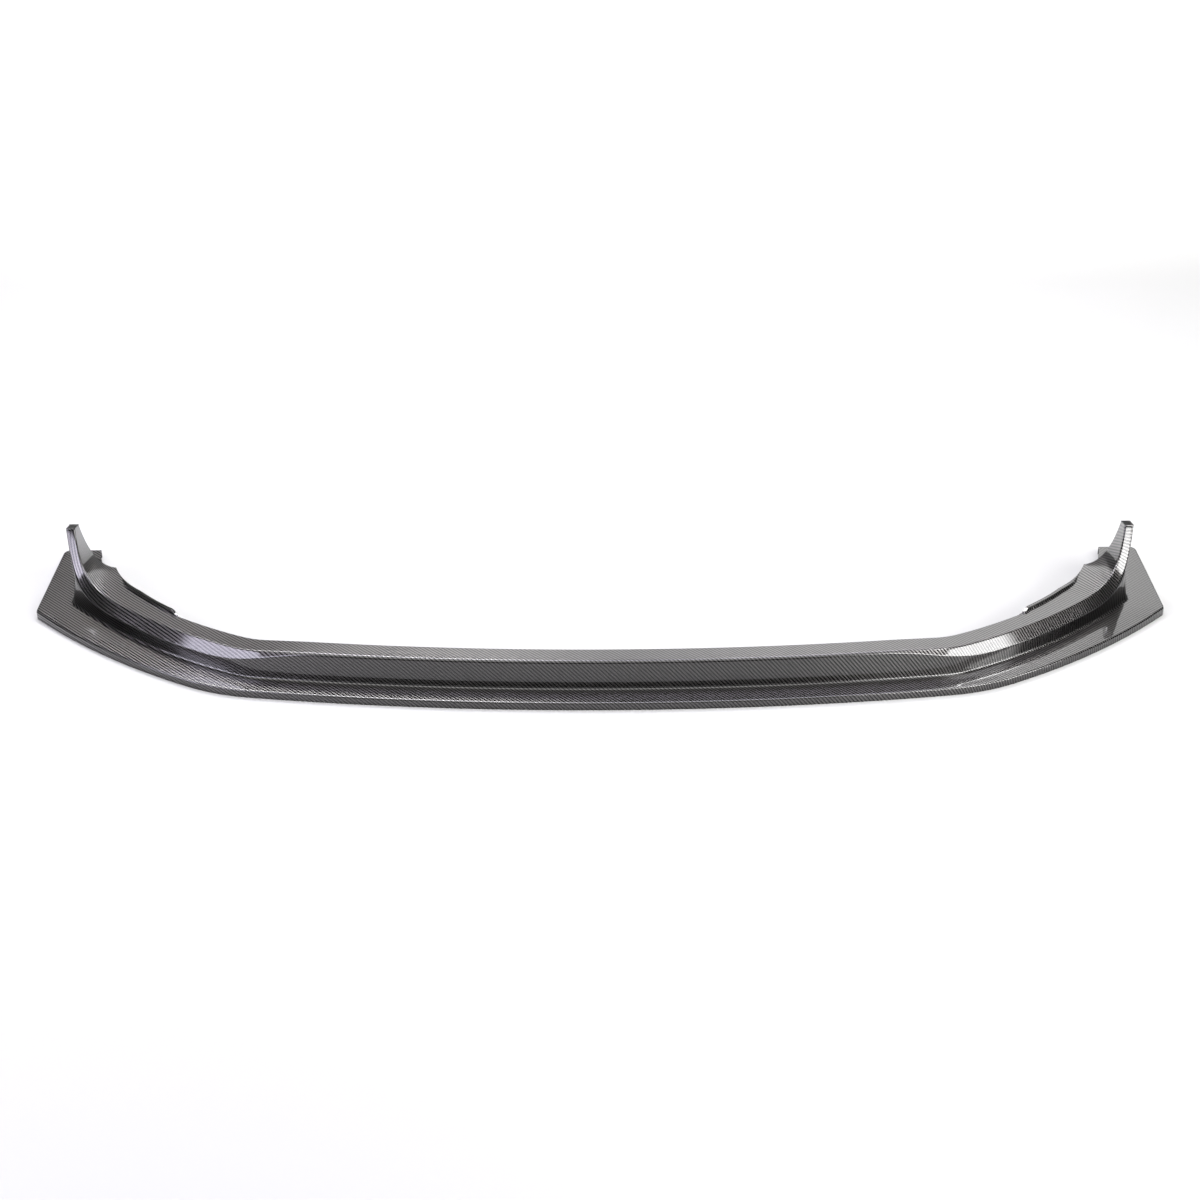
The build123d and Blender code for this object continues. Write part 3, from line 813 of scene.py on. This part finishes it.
class StageLook(bpy.types.PropertyGroup):
    """Floor, light and camera; a softbox's power has the softbox's name."""

    floor_colour: FloatVectorProperty(
        name="Floor colour", description="Pale paper floor", subtype="COLOR", size=4,
        min=0.0, max=1.0, default=linear("#b6b6b4"),
    )
    sky: FloatProperty(
        name="Room light", description="Strength of the even light from the room", min=0.0, default=0.12
    )
    rear_softbox: FloatProperty(
        name="Rear softbox", description="Softbox behind the lip", unit="POWER", default=40.0
    )
    rear_high: FloatProperty(
        name="High rear light", description="Light high behind on the left", unit="POWER", default=12.0
    )
    right_softbox: FloatProperty(
        name="Right softbox", description="Softbox in front on the right", unit="POWER", default=112.0
    )
    left_softbox: FloatProperty(
        name="Left softbox", description="Softbox in front on the left", unit="POWER", default=64.0
    )
    strip_left: FloatProperty(
        name="Left strip", description="Strip light above on the left", unit="POWER", default=100.0
    )
    strip_right: FloatProperty(
        name="Right strip", description="Strip light above on the right", unit="POWER", default=30.0
    )
    side_right: FloatProperty(
        name="Right side light", description="Low light on the right", unit="POWER", default=20.0
    )
    side_left: FloatProperty(
        name="Left side light", description="Low light on the left", unit="POWER", default=18.0
    )
    high_right: FloatProperty(
        name="High right light", description="Light high on the right", unit="POWER", default=32.0
    )
    strip_top: FloatProperty(
        name="Top strip", description="Strip light overhead", unit="POWER", default=64.0
    )
    backdrop_light: FloatProperty(
        name="Backdrop light", description="Light on the floor far behind", unit="POWER", default=430.0
    )
    ceiling: FloatProperty(
        name="Ceiling light", description="Wide even light from above, in watts per square metre",
        min=0.0, default=1.5,
    )
    target: FloatVectorProperty(
        name="Target", description="Point in the middle of the picture", subtype="TRANSLATION",
        unit="LENGTH", default=(-0.0002, 0.01785, 0.0412),
    )
    distance: FloatProperty(
        name="Camera distance", description="From the camera to its target", unit="LENGTH", default=3.4
    )
    elevation: FloatProperty(
        name="Camera elevation", description="Angle above the floor",
        subtype="ANGLE", default=radians(30.0),
    )
    roll: FloatProperty(
        name="Camera roll", description="Turn about the line of sight",
        subtype="ANGLE", default=radians(-0.2),
    )


class Millimetres:
    """The lip's sizes in millimetres, without the last digits that the stored metres bring along."""

    def __init__(self, sizes):
        for key in LipSize.__annotations__:
            setattr(self, key, round(getattr(sizes, key) / MM, SIZE_DIGITS))


class SPLITTER_OT_build_lip(bpy.types.Operator):
    """Builds the carbon lip over its solid"""

    bl_idname = "splitter.build_lip"
    bl_label = "Build the splitter lip"

    def execute(self, context):
        points, faces, cloth = lip_skin(Millimetres(context.scene.lip_size))
        mesh = bpy.data.meshes.new(SHELL)
        mesh.from_pydata(points.tolist(), [], faces)
        uv = mesh.uv_layers.new(name=CLOTH)
        uv.data.foreach_set("uv", cloth.astype(np.float32).ravel())
        if mesh.validate():
            raise RuntimeError("the lip's surface has faulty faces")
        mesh.polygons.foreach_set("use_smooth", np.ones(len(mesh.polygons), dtype=bool))
        mesh.set_sharp_from_angle(angle=radians(SHARP_ANGLE))
        mesh.materials.append(carbon_laminate(context.scene.lip_finish))
        lip = bpy.data.objects.new(SHELL, mesh)
        context.scene.collection.objects.link(lip)
        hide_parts(NODE)
        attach(lip, "root")
        return {"FINISHED"}


def add_floor(scene, colour):
    """Square of matt white paper: pale, even and almost without gloss."""
    half = FLOOR_HALF
    mesh = bpy.data.meshes.new("floor")
    corners = [(-half, -half, 0.0), (half, -half, 0.0), (half, half, 0.0), (-half, half, 0.0)]
    mesh.from_pydata(corners, [], [(0, 1, 2, 3)])
    paper = bpy.data.materials.new("white_floor")
    paper.use_nodes = True
    shader = paper.node_tree.nodes["Principled BSDF"]
    shader.inputs["Base Color"].default_value = colour
    shader.inputs["Roughness"].default_value = FLOOR_ROUGHNESS
    shader.inputs["Specular IOR Level"].default_value = FLOOR_GLOSS
    mesh.materials.append(paper)
    floor = bpy.data.objects.new("floor", mesh)
    scene.collection.objects.link(floor)


def add_room(scene, strength):
    """Even white light from all round."""
    world = bpy.data.worlds.new("room")
    world.use_nodes = True
    back = world.node_tree.nodes["Background"]
    back.inputs["Color"].default_value = linear(WHITE)
    back.inputs["Strength"].default_value = strength
    scene.world = world


def add_softbox(scene, power, name, place, aim, size, tint, soft):
    """Rectangular light at a place, turned to face another; it darkens smoothly towards its frame."""
    data = bpy.data.lights.new(name, "AREA")
    data.shape = "RECTANGLE"
    data.size, data.size_y = size
    data.energy = power
    data.color = linear(tint)[:3]
    data.use_nodes = True
    tree = data.node_tree
    surface = node(tree, "ShaderNodeNewGeometry")
    spot = node(tree, "ShaderNodeSeparateXYZ", [(surface.outputs["Parametric"], 0)])
    sides = []
    for axis in ("X", "Y"):
        inset = node(tree, "ShaderNodeMath", [(spot.outputs[axis], 0)], operation="PINGPONG", in_1=0.5)
        sides.append(node(
            tree, "ShaderNodeMapRange", [(inset.outputs[0], 0)], interpolation_type="SMOOTHSTEP", in_2=soft
        ))
    edges = [(side.outputs[0], k) for k, side in enumerate(sides)]
    glow = node(tree, "ShaderNodeMath", edges, operation="MULTIPLY")
    tree.links.new(glow.outputs[0], tree.nodes["Emission"].inputs["Strength"])
    lamp = bpy.data.objects.new(name, data)
    lamp.location = place
    lamp.rotation_euler = (Vector(aim) - Vector(place)).to_track_quat("-Z", "Y").to_euler()
    lamp.visible_camera = False
    scene.collection.objects.link(lamp)


def add_ceiling(scene, strength):
    """Wide sun that stands for a bright ceiling and shines a little towards the rear."""
    sun = bpy.data.lights.new("ceiling", "SUN")
    sun.energy = strength
    sun.angle = radians(CEILING_SPREAD)
    ceiling = bpy.data.objects.new("ceiling", sun)
    ceiling.rotation_euler = (radians(CEILING_TILT), 0.0, 0.0)
    scene.collection.objects.link(ceiling)


def add_camera(scene, look):
    """Camera in front of its target, raised by the elevation and turned by the roll."""
    camera = bpy.data.cameras.new("camera")
    camera.sensor_width = SENSOR_WIDTH
    camera.sensor_fit = "HORIZONTAL"
    camera.lens = SENSOR_WIDTH * FOCAL_PIXELS / PICTURE_PIXELS
    camera.clip_end = CLIP_END
    eye = bpy.data.objects.new("camera", camera)
    tilt = Euler((radians(90.0) - look.elevation, 0.0, 0.0)).to_matrix()
    turned = tilt @ Matrix.Rotation(look.roll, 3, "Z")
    place = Vector(look.target) + tilt @ Vector((0.0, 0.0, look.distance))
    eye.matrix_world = Matrix.Translation(place) @ turned.to_4x4()
    scene.collection.objects.link(eye)
    scene.camera = eye


class SPLITTER_OT_build_stage(bpy.types.Operator):
    """Builds the pale floor, the soft lights and the camera"""

    bl_idname = "splitter.build_stage"
    bl_label = "Build the stage"

    def execute(self, context):
        scene, look = context.scene, context.scene.stage_look
        add_floor(scene, look.floor_colour)
        add_room(scene, look.sky)
        for name, *settings in SOFTBOXES:
            add_softbox(scene, getattr(look, name), name, *settings)
        add_ceiling(scene, look.ceiling)
        add_camera(scene, look)
        scene.view_settings.view_transform = "Standard"
        scene.view_settings.look = "None"
        return {"FINISHED"}


class SPLITTER_PT_panel(bpy.types.Panel):
    """Lists the values of the lip and the stage, and the steps that build them"""

    bl_label = "Splitter lip"
    bl_idname = "SPLITTER_PT_panel"
    bl_space_type = "VIEW_3D"
    bl_region_type = "UI"
    bl_category = "Splitter lip"

    def draw(self, context):
        scene = context.scene
        for group in (scene.lip_size, scene.lip_finish, scene.stage_look):
            column = self.layout.column()
            for key in type(group).__annotations__:
                column.prop(group, key)
        for step in (SPLITTER_OT_build_lip, SPLITTER_OT_build_stage):
            self.layout.operator(step.bl_idname)


CLASSES = (
    LipSize,
    LipFinish,
    StageLook,
    SPLITTER_OT_build_lip,
    SPLITTER_OT_build_stage,
    SPLITTER_PT_panel,
)


def register():
    for cls in CLASSES:
        bpy.utils.register_class(cls)
    bpy.types.Scene.lip_size = PointerProperty(type=LipSize)
    bpy.types.Scene.lip_finish = PointerProperty(type=LipFinish)
    bpy.types.Scene.stage_look = PointerProperty(type=StageLook)


def unregister():
    del bpy.types.Scene.lip_size, bpy.types.Scene.lip_finish, bpy.types.Scene.stage_look
    for cls in reversed(CLASSES):
        bpy.utils.unregister_class(cls)


def main():
    register()
    bpy.ops.splitter.build_lip()
    bpy.ops.splitter.build_stage()


if __name__ == "__main__":
    main()
